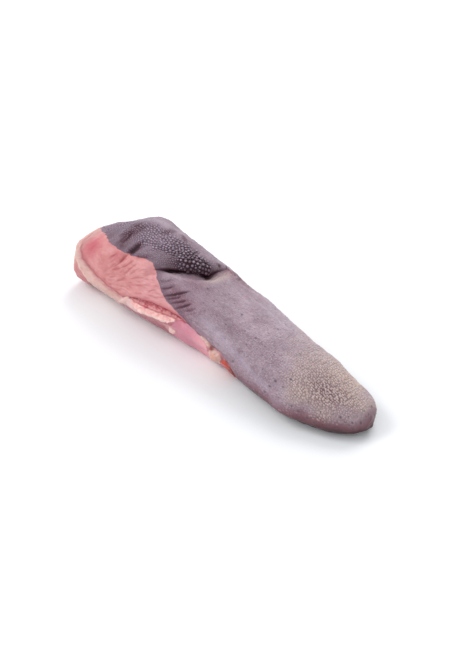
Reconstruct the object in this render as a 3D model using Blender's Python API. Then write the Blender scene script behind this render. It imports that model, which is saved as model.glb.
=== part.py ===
"""Raw beef tongue, whole and untrimmed, lying on its cut underside. It is one solid.

X runs from the cut root at -X to the tip at +X, Y runs across, and Z is up from the surface it lies on.
The origin is at the middle of the footprint, on that surface.
"""

import math

import bmesh
import bpy
import numpy as np

# Every length below is in millimetres, and becomes metres when the mesh is written.
METRES = 0.001

# Driving dimensions. Each is a run of (distance from the cut root, value), joined by a smooth curve.
LENGTH = 320.0
CROWN_HEIGHT = [
    (0, 46), (7, 49), (22, 55), (48, 64.3), (80, 64.3), (108, 61.3), (132, 55), (146, 52),
    (185, 49), (220, 43.4), (255, 35.8), (290, 26.7), (308, 23.4), (317, 19), (320, 14),
]
HALF_WIDTH = [
    (0, 30), (7, 36), (22, 41.8), (48, 42.6), (80, 43), (110, 42), (145, 39), (190, 37),
    (225, 36.3), (260, 36), (285, 30.5), (304, 22.7), (315, 14), (320, 3.8),
]
CENTRE_OFFSET = [
    (0, -5), (30, 3.3), (60, 3.6), (95, 2.8), (130, 3.6), (165, 2.7), (200, 1.5), (230, -1.1),
    (260, -1.8), (285, -0.6), (305, 1.7), (320, 3.4),
]
# Height of the widest line, as a share of the crown height.
MARGIN_LEVEL = [(0, 0.56), (60, 0.51), (110, 0.52), (145, 0.56), (200, 0.48), (280, 0.44), (320, 0.7)]
# Half-width of the flesh under the margin, as a share of the half-width.
WAIST = [(0, 0.99), (50, 0.96), (100, 0.90), (150, 0.84), (190, 0.84), (220, 0.92), (320, 0.92)]

# The other corners of the cross-section, as shares of the half-width and of the crown height.
SHOULDER_OUT = 0.69
SHOULDER_UP = 0.89
WAIST_UP = 0.25
FOOT_OUT = 0.66
TIP_LIFT = [(0, 0), (280, 0), (300, 1.1), (312, 4), (320, 5.2)]

# Mesh density: the spacing of the sections along the tongue, and the points in each side of a section,
# from the middle of the underside up the flank to the middle of the dorsum.
SECTION_SPACING = 5.0
FOLD_SPACING = 2.3
END_SPACING = 1.2
POINTS_IN_SIDES = (3, 6, 8, 6, 6)
ROOT_FACE_RINGS = (0.86, 0.66, 0.44, 0.22)
ROOT_FACE_DOME = 4.0

# The deep fold in front of the hump: (distance from the root, distance across) along its floor.
FOLD_PATH = [(92, -34), (98, -24), (107, -15), (118, -7), (128, 1), (134.5, 9), (134, 20), (131, 31), (127, 42)]
FOLD_DEPTH = 7.0
FOLD_HALF_WIDTH = 4.7
FOLD_DEEPEST = 0.62
BROW_RISE = 2.8
BROW_FROM_FLOOR = 11.0
LIP_RISE = 1.8
LIP_FROM_FLOOR = 10.0
RIDGE_RADIUS = 8.0

# Lesser creases on the hump: (path across the dorsum, depth, half-width).
HUMP_CREASES = [
    ([(64, -28), (68, -19), (70, -8)], 2.8, 3.0),
    ([(46, -14), (50, -4), (53, 5)], 1.8, 5.0),
    ([(68, 34), (71, 25), (72, 15)], 1.6, 3.2),
]
# Swellings: (distance from the root, across, height above the table, rise, radius).
SWELLINGS = [
    (54, 29, 60, 5.5, 17),
    (5, -33, 17, 2.5, 11),
    (104, 4, 64, 2.2, 22),
    (52, -40, 32, 1.6, 24),
]

# Lines on both flanks: (distance from the root, height above the table).
RIM_PATH = [(-2, 44), (4, 37), (12, 33), (25, 27), (40, 23), (55, 20), (68, 18), (80, 23)]
RIM_RISE = 2.2
RIM_HALF_WIDTH = 6.5
SEAM_PATH = [
    (78, 27), (97, 31.5), (115, 33.5), (132, 34), (150, 33.5), (168, 29), (184, 26), (198, 21.5), (212, 12),
]
SEAM_DEPTH = 2.6
SEAM_HALF_WIDTH = 4.2
EAVES_RISE = 1.8

# The lobes of fat under the seam: (distance from the root, height above the table, radius).
FAT_LOBES = [(90, 24, 7.5), (101, 26, 7), (112, 27, 7), (123, 27.5, 7), (134, 28.5, 6), (140, 11, 8), (185, 19, 7)]
LOBE_RISE = 2.6

# Edge of the grey skin on the flank: (distance from the root, height above the table).
PIGMENT_EDGE = [(0, 48), (22, 53.5), (41, 57.5), (60, 58.5), (91, 61.5), (100, 56), (114, 51), (124, 44), (144, 36)]


def smooth_curve(points, at):
    """Value at each place of a curve through the points that never overshoots them."""
    xs, ys = (np.array(column, float) for column in zip(*points))
    step = np.diff(xs)
    slope = np.diff(ys) / step
    tangent = np.concatenate([slope[:1], np.zeros(len(xs) - 2), slope[-1:]])
    before, after = slope[:-1], slope[1:]
    turns = before * after <= 0
    weight_a, weight_b = 2 * step[1:] + step[:-1], step[1:] + 2 * step[:-1]
    safe_before, safe_after = np.where(turns, 1.0, before), np.where(turns, 1.0, after)
    mean = (weight_a + weight_b) / (weight_a / safe_before + weight_b / safe_after)
    tangent[1:-1] = np.where(turns, 0.0, mean)
    span = np.clip(np.searchsorted(xs, at) - 1, 0, len(xs) - 2)
    t = (np.asarray(at, float) - xs[span]) / step[span]
    t = np.clip(t, 0.0, 1.0)
    return (
        (2 * t**3 - 3 * t**2 + 1) * ys[span]
        + (t**3 - 2 * t**2 + t) * step[span] * tangent[span]
        + (3 * t**2 - 2 * t**3) * ys[span + 1]
        + (t**3 - t**2) * step[span] * tangent[span + 1]
    )


def section_places():
    """Distances from the root at which the sections stand: close at both ends and across the fold."""
    fold_from, fold_to = FOLD_PATH[0][0] - 6, FOLD_PATH[5][0] + 12
    places = [0.0]
    while places[-1] < LENGTH:
        here = places[-1]
        spacing = FOLD_SPACING if fold_from < here < fold_to else SECTION_SPACING
        to_end = min(here, LENGTH - here)
        spacing = min(spacing, END_SPACING + 0.25 * to_end)
        places.append(here + spacing)
    places[-1] = LENGTH
    return np.array(places)


def sections(places):
    """Closed cross-sections at these places, as an array of section by point by (along, across, up)."""
    crown = smooth_curve(CROWN_HEIGHT, places)
    half = smooth_curve(HALF_WIDTH, places)
    foot_up = smooth_curve(TIP_LIFT, places)
    zero = np.zeros_like(places)
    flank = [
        (half * FOOT_OUT, foot_up),
        (half * smooth_curve(WAIST, places), np.maximum(crown * WAIST_UP, foot_up + 1)),
        (half, crown * smooth_curve(MARGIN_LEVEL, places)),
        (half * SHOULDER_OUT, crown * SHOULDER_UP),
    ]
    near = [(-out, up) for out, up in flank]
    corners = [(zero, foot_up), *near, (zero, crown), *reversed(flank)]
    corners = np.array([np.stack(corner, -1) for corner in corners])
    count = len(corners)
    points = []
    for side, steps in enumerate(POINTS_IN_SIDES + POINTS_IN_SIDES[::-1]):
        a, b, c, d = (corners[(side + k) % count] for k in (-1, 0, 1, 2))
        for step in range(steps):
            t = step / steps
            curve = 2 * b + (c - a) * t + (2 * a - 5 * b + 4 * c - d) * t**2
            points.append(0.5 * (curve + (3 * b - a - 3 * c + d) * t**3))
    ring = np.stack(points, 1)
    ring[..., 0] += smooth_curve(CENTRE_OFFSET, places)[:, None]
    along = np.broadcast_to(places[:, None, None], (*ring.shape[:2], 1))
    return np.concatenate([along, ring], -1)


def root_face(first):
    """Rings that close the cut root, shrinking towards the middle of a slightly domed face."""
    middle = first.mean(0)
    rings = []
    for share in sorted(ROOT_FACE_RINGS):
        ring = middle + (first - middle) * share
        ring[:, 0] -= ROOT_FACE_DOME * (1 - share**2)
        rings.append(ring)
    return np.array(rings)


def outward_normals(grid):
    """Unit normals of a grid of sections, each of which closes on itself."""
    lengthways = np.gradient(grid, axis=0)
    crossways = np.roll(grid, -1, 1) - np.roll(grid, 1, 1)
    normal = np.cross(lengthways, crossways)
    return normal / np.maximum(np.linalg.norm(normal, axis=-1, keepdims=True), 1e-9)


def nearest_on_path(path, u, v):
    """For points (u, v): distance to the path, share of the way along it, and side, +1 to its right."""
    path = np.array(path, float)
    best = np.full(u.shape, np.inf)
    share, side = np.zeros(u.shape), np.ones(u.shape)
    legs = len(path) - 1
    for leg in range(legs):
        a, run = path[leg], path[leg + 1] - path[leg]
        t = np.clip(((u - a[0]) * run[0] + (v - a[1]) * run[1]) / (run @ run), 0, 1)
        off_u, off_v = u - a[0] - t * run[0], v - a[1] - t * run[1]
        distance = np.hypot(off_u, off_v)
        closer = distance < best
        best = np.where(closer, distance, best)
        share = np.where(closer, (leg + t) / legs, share)
        side = np.where(closer, np.sign(off_u * run[1] - off_v * run[0]), side)
    return best, share, side


def bell(distance, half_width):
    return np.exp(-((distance / half_width) ** 2))


def step_up(value, low, high):
    """0 below low, 1 above high, and a smooth rise between."""
    t = np.clip((value - low) / (high - low), 0, 1)
    return t * t * (3 - 2 * t)


def fold_relief(along, across, upward):
    """The fold across the dorsum, the brow of the hump behind it and the lip of the blade in front."""
    distance, share, side = nearest_on_path(FOLD_PATH, along, across)
    strength = 1 - np.abs(share - FOLD_DEEPEST) / np.where(share < FOLD_DEEPEST, FOLD_DEEPEST, 1 - FOLD_DEEPEST)
    strength = 0.2 + 0.8 * np.clip(strength, 0, 1) ** 0.8
    ends = step_up(share, 0.0, 0.12) * (1 - step_up(share, 0.82, 1.0))
    clear = step_up(distance, 0, 5)
    brow = BROW_RISE * bell(distance - BROW_FROM_FLOOR, RIDGE_RADIUS) * clear * (side < 0)
    lip = LIP_RISE * bell(distance - LIP_FROM_FLOOR, RIDGE_RADIUS) * clear * (side > 0)
    groove = FOLD_DEPTH * bell(distance, FOLD_HALF_WIDTH)
    return upward * ends * strength * (brow + lip - groove)


def dorsum_relief(along, across, up, upward):
    """The lesser creases of the hump, and the broad swellings."""
    total = np.zeros_like(along)
    for path, depth, half_width in HUMP_CREASES:
        distance, share, _ = nearest_on_path(path, along, across)
        total -= upward * depth * bell(distance, half_width)
    for at, off, level, rise, radius in SWELLINGS:
        distance = np.sqrt((along - at) ** 2 + (across - off) ** 2 + (up - level) ** 2)
        total += rise * bell(distance, radius)
    return total


def flank_relief(along, up, outward):
    """The cut rim of the mucosa, the seam under the skin's edge, and the lobes of fat below it."""
    distance, share, _ = nearest_on_path(RIM_PATH, along, up)
    total = RIM_RISE * bell(distance, RIM_HALF_WIDTH) * (1 - step_up(share, 0.85, 1.0))
    distance, share, side = nearest_on_path(SEAM_PATH, along, up)
    ends = step_up(share, 0.0, 0.1) * (1 - step_up(share, 0.9, 1.0))
    eaves = EAVES_RISE * bell(distance - 6, 4) * step_up(distance, 0, 4) * (side < 0)
    total += ends * (eaves - SEAM_DEPTH * bell(distance, SEAM_HALF_WIDTH))
    for at, level, radius in FAT_LOBES:
        total += LOBE_RISE * bell(np.hypot(along - at, up - level), radius)
    return total * outward


def unevenness(along, across, up):
    """Slow swells, so that no stretch is a perfect loft."""
    waves = np.sin(along / 13.0 + across / 19.0) * np.sin(up / 11.0 - along / 31.0)
    return 0.45 * waves + 0.3 * np.sin(along / 7.3 + across / 9.1 + 1.7 * np.sin(up / 8.0))


def add_relief(grid):
    """Moves each point along its normal, presses in the fold from above, and flattens the underside."""
    normal = outward_normals(grid)
    along, across, up = np.moveaxis(grid, -1, 0)
    upward = step_up(normal[..., 2], -0.05, 0.45)
    outward = step_up(np.abs(normal[..., 1]), 0.2, 0.55)
    height = dorsum_relief(along, across, up, upward)
    height += flank_relief(along, up, outward)
    height += unevenness(along, across, up) * step_up(up, 1.0, 6.0)
    grid = grid + normal * height[..., None]
    grid[..., 2] += fold_relief(along, across, upward)
    grid[..., 2] = np.maximum(grid[..., 2], 0.0)
    return grid


def face_material(along, up, sideways, downward):
    """Which tissue shows on a face: 0 grey skin, 1 pink mucosa, 2 fat, 3 cut muscle."""
    if along < 0.5 or downward > 0.6 and along < SEAM_PATH[-1][0]:
        return 3
    if not sideways:
        return 0
    to_rim, share, _ = nearest_on_path(RIM_PATH, np.array([along]), np.array([up]))
    if to_rim[0] < RIM_HALF_WIDTH and share[0] < 0.95:
        return 2
    if any(math.hypot(along - at, up - level) < radius for at, level, radius in FAT_LOBES):
        return 2
    seam_level = float(smooth_curve(SEAM_PATH, along))
    rim_level = float(smooth_curve(RIM_PATH, along))
    if along > SEAM_PATH[0][0] and along < SEAM_PATH[-1][0] and up < seam_level:
        return 3
    if along < RIM_PATH[-1][0] and up < rim_level:
        return 3
    edge = float(smooth_curve(PIGMENT_EDGE, along))
    return 1 if along < PIGMENT_EDGE[-1][0] and up < edge else 0


def tissue(name, colour, roughness):
    material = bpy.data.materials.new(name)
    material.use_nodes = True
    shader = material.node_tree.nodes["Principled BSDF"]
    shader.inputs["Base Color"].default_value = (*colour, 1.0)
    shader.inputs["Roughness"].default_value = roughness
    shader.inputs["Metallic"].default_value = 0.0
    return material


def build_mesh(rings):
    """A closed mesh from rings of equal length: bridged one to the next, with a fan at each end."""
    mesh = bmesh.new()
    loops = [[mesh.verts.new(point) for point in ring * METRES] for ring in rings]
    for first, second in zip(loops, loops[1:]):
        count = len(first)
        for k in range(count):
            after = (k + 1) % count
            mesh.faces.new((first[k], first[after], second[after], second[k]))
    for loop in (loops[0], loops[-1]):
        cap = mesh.faces.new(loop)
        bmesh.ops.poke(mesh, faces=[cap])
    bmesh.ops.recalc_face_normals(mesh, faces=mesh.faces)
    return mesh


def centre_on_footprint(mesh):
    """Puts the middle of the bounding box over the origin, and its lowest point on the table."""
    points = np.array([vert.co for vert in mesh.verts])
    low, high = points.min(0), points.max(0)
    middle = (low + high) / 2
    for vert in mesh.verts:
        vert.co.x -= middle[0]
        vert.co.y -= middle[1]
        vert.co.z -= low[2]
    return middle[0]


def paint(mesh, root_x):
    """Gives each face the material of the tissue that shows there. root_x is where distance 0 lies."""
    for face in mesh.faces:
        centre = face.calc_center_median() / METRES
        along = centre.x - root_x
        sideways = abs(face.normal.y) > 0.35 or centre.z < PIGMENT_EDGE[0][1]
        face.material_index = face_material(along, centre.z, sideways, -face.normal.z)
        face.smooth = True


def make_tongue():
    loft = sections(section_places())
    rings = add_relief(np.concatenate([root_face(loft[0]), loft]))
    mesh = build_mesh(rings)
    middle = centre_on_footprint(mesh)
    paint(mesh, -middle / METRES)
    data = bpy.data.meshes.new("tongue")
    mesh.to_mesh(data)
    mesh.free()
    for material in (
        tissue("grey_skin", (0.36, 0.28, 0.33), 0.42),
        tissue("pink_mucosa", (0.62, 0.27, 0.28), 0.38),
        tissue("fat", (0.72, 0.48, 0.42), 0.40),
        tissue("cut_muscle", (0.48, 0.13, 0.15), 0.38),
    ):
        data.materials.append(material)
    tongue = bpy.data.objects.new("tongue", data)
    bpy.context.scene.collection.objects.link(tongue)
    return tongue


for leftover in list(bpy.data.objects):
    bpy.data.objects.remove(leftover, do_unlink=True)
make_tongue()
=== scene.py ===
import math

import bpy
import numpy as np
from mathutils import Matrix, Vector
from mathutils.bvhtree import BVHTree


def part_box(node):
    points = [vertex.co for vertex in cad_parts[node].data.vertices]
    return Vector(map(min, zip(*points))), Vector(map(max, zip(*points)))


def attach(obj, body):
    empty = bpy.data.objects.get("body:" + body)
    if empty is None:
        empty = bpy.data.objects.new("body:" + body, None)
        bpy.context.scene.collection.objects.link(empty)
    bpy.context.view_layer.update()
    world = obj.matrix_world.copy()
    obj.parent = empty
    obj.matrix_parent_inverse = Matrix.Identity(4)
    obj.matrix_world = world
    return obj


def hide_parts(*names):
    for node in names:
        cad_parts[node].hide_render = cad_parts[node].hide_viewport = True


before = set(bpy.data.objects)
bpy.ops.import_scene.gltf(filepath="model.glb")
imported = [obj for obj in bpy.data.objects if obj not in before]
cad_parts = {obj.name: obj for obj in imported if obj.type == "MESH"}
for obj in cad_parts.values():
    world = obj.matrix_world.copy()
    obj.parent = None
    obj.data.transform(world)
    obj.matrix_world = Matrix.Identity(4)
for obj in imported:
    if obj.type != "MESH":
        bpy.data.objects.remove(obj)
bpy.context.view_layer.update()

# The form that every piece is laid on
# The tongue's solid, remeshed into small even triangles so that skin and cut flesh can be parted
# along a clean edge. Distances are in millimetres: along from the cut root, across, and up.

VOXEL = 0.68
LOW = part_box("tongue")[0]
ROOT_FACE_DOME = 3.9
ALONG_AT_ORIGIN = -LOW.x * 1000 - ROOT_FACE_DOME
ACROSS_AT_ORIGIN = 2.5
# The plane that the far flank is turned over at, to use the near flank's outlines.
MIDDLE = 3.0


def read(items, name, kind, width):
    """One property of a mesh's items as an array."""
    values = np.empty(len(items) * width, kind)
    items.foreach_get(name, values)
    return values.reshape(-1, width) if width > 1 else values


def even_mesh(data, voxel):
    """Points and triangles of a closed mesh, remeshed evenly."""
    holder = bpy.data.objects.new("holder", data)
    bpy.context.scene.collection.objects.link(holder)
    weld = holder.modifiers.new("weld", "WELD")
    weld.merge_threshold = 1e-6
    remesh = holder.modifiers.new("remesh", "REMESH")
    remesh.mode = "VOXEL"
    remesh.voxel_size = voxel
    graph = bpy.context.evaluated_depsgraph_get()
    even = bpy.data.meshes.new_from_object(holder.evaluated_get(graph))
    bpy.data.objects.remove(holder)
    even.calc_loop_triangles()
    points = read(even.vertices, "co", np.float32, 3).astype(float)
    return points, read(even.loop_triangles, "vertices", np.int32, 3)


def edges_of(triangles):
    """Each edge once, with the number of triangles that share it."""
    pairs = np.concatenate([triangles[:, [0, 1]], triangles[:, [1, 2]], triangles[:, [2, 0]]])
    return np.unique(np.sort(pairs, 1), axis=0, return_counts=True)


def neighbour_mean(values, edges):
    """The mean of each point's neighbours."""
    total = np.empty_like(values)
    ends = np.concatenate([edges, edges[:, ::-1]])
    count = np.bincount(ends[:, 0], minlength=len(values))
    for column in range(values.shape[1]):
        total[:, column] = np.bincount(ends[:, 0], values[ends[:, 1], column], len(values))
    return total / np.maximum(count, 1)[:, None]


def relaxed(points, triangles, rounds):
    """Evens out the steps of the remesh without shrinking the form."""
    edges, _ = edges_of(triangles)
    for step in (0.5, -0.52) * rounds:
        points = points + step * (neighbour_mean(points, edges) - points)
    return points


def normals_of(points, triangles):
    """The surface's direction at each point."""
    corners = points[triangles]
    face = np.cross(corners[:, 1] - corners[:, 0], corners[:, 2] - corners[:, 0])
    normal = np.zeros_like(points)
    for corner in range(3):
        for column in range(3):
            normal[:, column] += np.bincount(triangles[:, corner], face[:, column], len(points))
    return normal / np.maximum(np.linalg.norm(normal, axis=1, keepdims=True), 1e-12)


def to_form(points):
    """Metres in the row frame to millimetres along, across and up."""
    return points * 1000 + (ALONG_AT_ORIGIN, ACROSS_AT_ORIGIN, 0)


def from_form(points):
    """Millimetres along, across and up to metres in the row frame."""
    return (points - (ALONG_AT_ORIGIN, ACROSS_AT_ORIGIN, 0)) / 1000


def smooth(value, low, high):
    """0 up to low and 1 from high on, with a soft rise between."""
    t = np.clip((value - low) / (high - low), 0, 1)
    return t * t * (3 - 2 * t)


def bell(distance, half_width):
    """1 at no distance, fading away beyond the half-width."""
    return np.exp(-((distance / half_width) ** 2))


def to_path(points, path):
    """Distance of each point to a path, the share of the way along it, and the nearest point on it."""
    path = np.array(path, float)
    best, share = np.full(len(points), np.inf), np.zeros(len(points))
    nearest = np.zeros_like(points)
    for leg in range(len(path) - 1):
        run = path[leg + 1] - path[leg]
        t = np.clip(((points - path[leg]) @ run) / (run @ run), 0, 1)
        place = path[leg] + t[:, None] * run
        distance = np.linalg.norm(points - place, axis=1)
        closer = distance < best
        best[closer] = distance[closer]
        share[closer] = (leg + t[closer]) / (len(path) - 1)
        nearest[closer] = place[closer]
    return best, share, nearest


def inside_distance(points, corners):
    """Signed distance to a polygon's outline, positive inside it."""
    corners = np.array(corners, float)
    distance, _, _ = to_path(points, np.concatenate([corners, corners[:1]]))
    inside = np.zeros(len(points), bool)
    for a, b in zip(corners, np.roll(corners, -1, 0)):
        spans = (a[1] > points[:, 1]) != (b[1] > points[:, 1])
        with np.errstate(divide="ignore", invalid="ignore"):
            crossing = a[0] + (points[:, 1] - a[1]) / (b[1] - a[1]) * (b[0] - a[0])
        inside ^= spans & (points[:, 0] < crossing)
    return np.where(inside, distance, -distance)


def lumps(points, spacing, seed):
    """Distance to the nearest of a set of scattered seeds, and how much farther the second one is."""
    cells = np.floor(points / spacing).astype(int)
    first, second = np.full(len(points), 9.0), np.full(len(points), 9.0)
    for offset in np.ndindex(*(3,) * points.shape[1]):
        cell = cells + np.array(offset) - 1
        key = np.zeros(len(points), np.uint64)
        for column in range(points.shape[1]):
            key = key * np.uint64(73856093) + (cell[:, column] + 4096).astype(np.uint64)
        distance = np.zeros(len(points))
        for column in range(points.shape[1]):
            mixed = (key + np.uint64(seed * 977 + column * 131)) * np.uint64(2654435761)
            mixed ^= mixed >> np.uint64(15)
            jitter = (mixed % np.uint64(1000)).astype(float) / 1000
            distance += (cell[:, column] + jitter - points[:, column] / spacing) ** 2
        distance = np.sqrt(distance)
        second = np.minimum(second, np.maximum(first, distance))
        first = np.minimum(first, distance)
    return first, second - first


def waves(points, length, seed):
    """Smooth noise of about -1 to 1, from a few sines in seeded directions."""
    draw = np.random.default_rng(seed)
    total = np.zeros(len(points))
    for _ in range(7):
        direction = draw.normal(size=points.shape[1])
        direction *= 2 * math.pi / (length * draw.uniform(0.7, 1.6) * np.linalg.norm(direction))
        total += np.sin(points @ direction + draw.uniform(0, 6.3))
    return total / 3.2


def kept_above(values, triangles, field):
    """The part of a mesh where the field is above 0, cut cleanly where it is 0. values is one row a point."""
    above = field > 0
    count = above[triangles].sum(1)
    pieces, new_pairs = [triangles[count == 3]], []
    cut = {}
    for kind in (1, 2):
        chosen = triangles[count == kind]
        odd = np.argmax(above[chosen] == (kind == 1), 1)
        rows = np.arange(len(chosen))
        cut[kind] = np.stack([chosen[rows, (odd + k) % 3] for k in range(3)], 1)
        new_pairs += [cut[kind][:, [0, 1]], cut[kind][:, [0, 2]]]
    pairs, index = np.unique(np.sort(np.concatenate(new_pairs), 1), axis=0, return_inverse=True)
    index = index.reshape(-1) + len(values)
    ones, twos = len(cut[1]), len(cut[2])
    a, b = index[:ones], index[ones : 2 * ones]
    c, d = index[2 * ones : 2 * ones + twos], index[2 * ones + twos :]
    pieces.append(np.stack([cut[1][:, 0], a, b], 1))
    pieces.append(np.stack([c, cut[2][:, 1], cut[2][:, 2]], 1))
    pieces.append(np.stack([c, cut[2][:, 2], d], 1))
    share = (field[pairs[:, 0]] / (field[pairs[:, 0]] - field[pairs[:, 1]]))[:, None]
    values = np.concatenate([values, values[pairs[:, 0]] * (1 - share) + values[pairs[:, 1]] * share])
    triangles = np.concatenate(pieces)
    used, flat = np.unique(triangles, return_inverse=True)
    return values[used], flat.reshape(-1, 3)


def to_piece(name, points, triangles, attributes, material):
    """Makes a smooth mesh piece from points in form millimetres, which moves with the tongue."""
    data = bpy.data.meshes.new(name)
    data.from_pydata(from_form(points).tolist(), [], triangles.tolist())
    data.validate()
    for label, values in attributes.items():
        data.attributes.new(label, "FLOAT", "POINT").data.foreach_set("value", values.astype(np.float32))
    data.shade_smooth()
    data.materials.append(material)
    piece = bpy.data.objects.new(name, data)
    bpy.context.scene.collection.objects.link(piece)
    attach(piece, "root")
    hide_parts("tongue")


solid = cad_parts["tongue"].data.copy()
points, triangles = even_mesh(solid, VOXEL / 1000)
form = to_form(relaxed(points, triangles, 6))
form_normals = normals_of(form, triangles)
far = form[:, 1] > MIDDLE
# The far flank is like the near one, but a little farther along and lower cut,
# so it isn't its mirror image.
near_form = form.copy()
near_form[far, 1] = 2 * MIDDLE - form[far, 1]
near_form[far, 0] -= 5 * smooth(form[far, 1], MIDDLE, MIDDLE + 20) * smooth(form[far, 0], 15, 60)
near_form[:, 2] += 18 * smooth(form[:, 1], MIDDLE - 8, MIDDLE + 8) * (1 - smooth(form[:, 0], 10, 60))
flank = near_form[:, [0, 2]]

# The edge where the skin was cut on each flank, and where the free tip's own underside begins.
SKIN_EDGE = [
    (-20, 53), (0, 51), (6.5, 43.8), (9.8, 40.4), (16.7, 36.7), (25.3, 33.3), (37.2, 31.2),
    (51, 29), (63.4, 26.3), (74.5, 24.6), (79, 28), (85, 31), (97.4, 34), (108, 36.2), (119, 36.4),
    (130, 35.8), (139, 35.2), (148.1, 33.2), (156.8, 30.8), (163.8, 29.4), (170, 28.6), (177, 27),
    (183, 26.8), (189, 25.6), (194.7, 21.8), (199.3, 17.8), (200.8, 12.5), (200.6, 6), (200, 0),
    (200, -9),
]
ragged = 0.4 * waves(form, 7, 3)
skin_depth = inside_distance(flank, SKIN_EDGE + [(420, -9), (420, 120), (-20, 120)]) + ragged

# Skin
# The tough hide of the tongue: grey-mauve over the dorsum and the blade, pink mucosa on the flanks of the
# root. It has creases on the hump, the deep fold in front of it, and wrinkles that fan out from the fold.

# The fold's floor, along, across and up.
FOLD = [
    (97, -21.5, 57.4), (99.2, -20.2, 57.9), (104.7, -16.2, 58), (109.3, -12.5, 57.7),
    (114.6, -8, 57.4), (119.6, -2.8, 56.4), (124.8, 2.1, 55.1), (129, 6.3, 53), (132.1, 9.3, 50.6),
    (132.6, 15.3, 51), (131.3, 22.6, 50.3), (130.5, 29.2, 48.3), (130, 35.8, 45.8),
]
# How dark the painted shade on the fold's floor is, and how wide, at each share of its length: open,
# pinched, a pocket, then shallow.
FOLD_SHARES = [0, 0.08, 0.19, 0.33, 0.4, 0.52, 0.6, 0.72, 0.82, 1]
FOLD_DARKNESS = [0.4, 0.7, 1.1, 1.1, 0.9, 0.8, 1, 1.1, 0.8, 0.2]
FOLD_HALF_WIDTHS = [0.7, 0.9, 1.5, 1.5, 1.1, 1.2, 2.0, 2.5, 1.4, 0.9]
# Creases: path, depth, half-width and how dark the painted shade on the floor is.
CREASES = [
    # On the hump
    ([(52.5, -18.5, 60.8), (49.5, -10, 62), (47.2, -1.5, 63.6), (48, 5, 64.5)], 0.9, 2.4, 0.8),
    ([(39.8, -13.2, 60), (44, -8, 62), (49, -1, 63.4)], 0.6, 2.4, 0.5),
    ([(64, -24.2, 57.2), (66.2, -18.3, 59.4), (66, -12.2, 61.6), (66, -5.1, 63.6), (66.5, 1, 64.6)],
     2.0, 3.0, 0.85),
    ([(71.3, -22.8, 58.9), (79.2, -20, 60.8), (86.1, -15.9, 62.9), (95, -8, 65.3)], 0.6, 2.4, 0.5),
    # Fanning out below the fold
    ([(107, -28.4, 53.6), (114.8, -24.7, 55.7), (118.9, -20.4, 56.8), (122, -15, 57.4)], 0.4, 1.4, 0.35),
    ([(111.5, -30.6, 49.6), (120.5, -26.7, 51.9), (122.8, -22.9, 53.8), (126, -17.8, 54.9)], 0.6, 1.3, 0.5),
    ([(114.5, -34, 43.2), (126.4, -27.6, 48.6), (131.6, -22, 50.6), (136, -15.7, 51.7), (138.5, -4, 54.4)],
     0.9, 1.3, 0.8),
    ([(120.6, -33, 43.4), (130.8, -27.1, 47.6), (134, -23, 49.3), (137, -18, 50.6)], 0.5, 1.1, 0.5),
    ([(126, -33.4, 42), (135.9, -27.2, 46.2), (138.9, -23.1, 47.8), (141.4, -17.5, 49.6)], 0.6, 1.1, 0.6),
    ([(132.5, -34, 39.8), (141.3, -27.8, 44.7), (143.8, -23.1, 46.8), (147.4, -16.6, 48.8)], 0.8, 1.2, 0.75),
    ([(143, -31.4, 42), (148, -27.1, 44.3), (150.4, -23.6, 45.9), (153, -19, 47.2)], 0.5, 1.2, 0.35),
    ([(147.5, -32, 40), (152.8, -27.1, 43.8), (156.8, -23.9, 45.4)], 0.4, 1.2, 0.2),
    # On the pink flank
    ([(65, -22.6, 58), (63.2, -26.6, 54.5), (62, -30.9, 51), (59, -33.5, 47)], 1.5, 1.5, 0.55),
    ([(76, -24, 58.8), (72.4, -29.8, 54.4), (66.5, -33.4, 49.5), (62, -35.3, 46)], 1.1, 1.1, 0.45),
    ([(80.5, -26.3, 57.6), (75.1, -32.4, 50.7), (70.5, -35.6, 45)], 0.8, 1.0, 0.4),
    ([(86.2, -26.7, 56.7), (79.6, -32.9, 50.1), (74, -35.8, 45)], 0.6, 0.9, 0.35),
    ([(54, -36.5, 42.4), (60.5, -35.4, 45.6), (66, -32.8, 50), (71, -31, 52.5)], 0.6, 1.1, 0.35),
    ([(90, -31.5, 51.6), (82.6, -34.5, 47), (75, -37.4, 41)], 0.5, 1.0, 0.3),
    ([(74, -39, 37.5), (90, -35.3, 45), (103.9, -32.5, 48.7), (114, -29.8, 50.5)], 0.4, 0.9, 0.3),
    ([(64, -39, 37), (71.6, -37, 41.5), (84, -34.2, 47.6)], 0.5, 1.0, 0.3),
    ([(61, -41.4, 28.6), (69.4, -40.5, 31.2), (79, -40.2, 32.4)], 0.5, 0.9, 0.35),
    ([(101, -38, 38), (105.4, -34, 46.1), (110.6, -31.8, 48.6), (116, -29.6, 50)], 0.5, 0.9, 0.35),
    ([(88, -38.6, 37), (98, -36, 42.6), (108, -34.6, 43.6)], 0.4, 0.9, 0.2),
]
FINE_WRINKLES = 420

# Edge of the pigment on each side, from the cut root to the cut edge of the skin. It lies lower on
# the far side. Which side of it a point is on is told by its angle round an axis, across and up.
PIGMENT_AXIS = (4, 28)
PIGMENT_EDGE = [
    (-6, -2, 43), (6.8, -6.7, 48.7), (14.8, -11.2, 51.3), (22.2, -13, 53.6), (31.2, -19.1, 55.5),
    (41, -22.6, 57.6), (49.7, -24, 58.3), (59.8, -24.5, 58.2), (65, -22, 58.5), (68.9, -23.1, 57.8),
    (79.2, -20.4, 60.6), (91, -19.1, 61.7), (95, -20.4, 60.1), (100.1, -21.9, 56.1),
    (107.7, -27.6, 54.6), (113.5, -29.5, 51.2), (120.1, -32.4, 45.7), (132, -33, 41.8),
    (138.4, -33.2, 40.2), (145, -32.5, 35.5), (156, -30, 22),
]
FAR_PIGMENT_EDGE = [
    (-6, 33, 36), (12, 41, 36), (30, 46, 37), (48, 48, 34), (66, 48, 37), (90, 46, 36),
    (112, 43, 38), (130, 40, 34), (146, 38, 28), (158, 36, 20),
]
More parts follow.
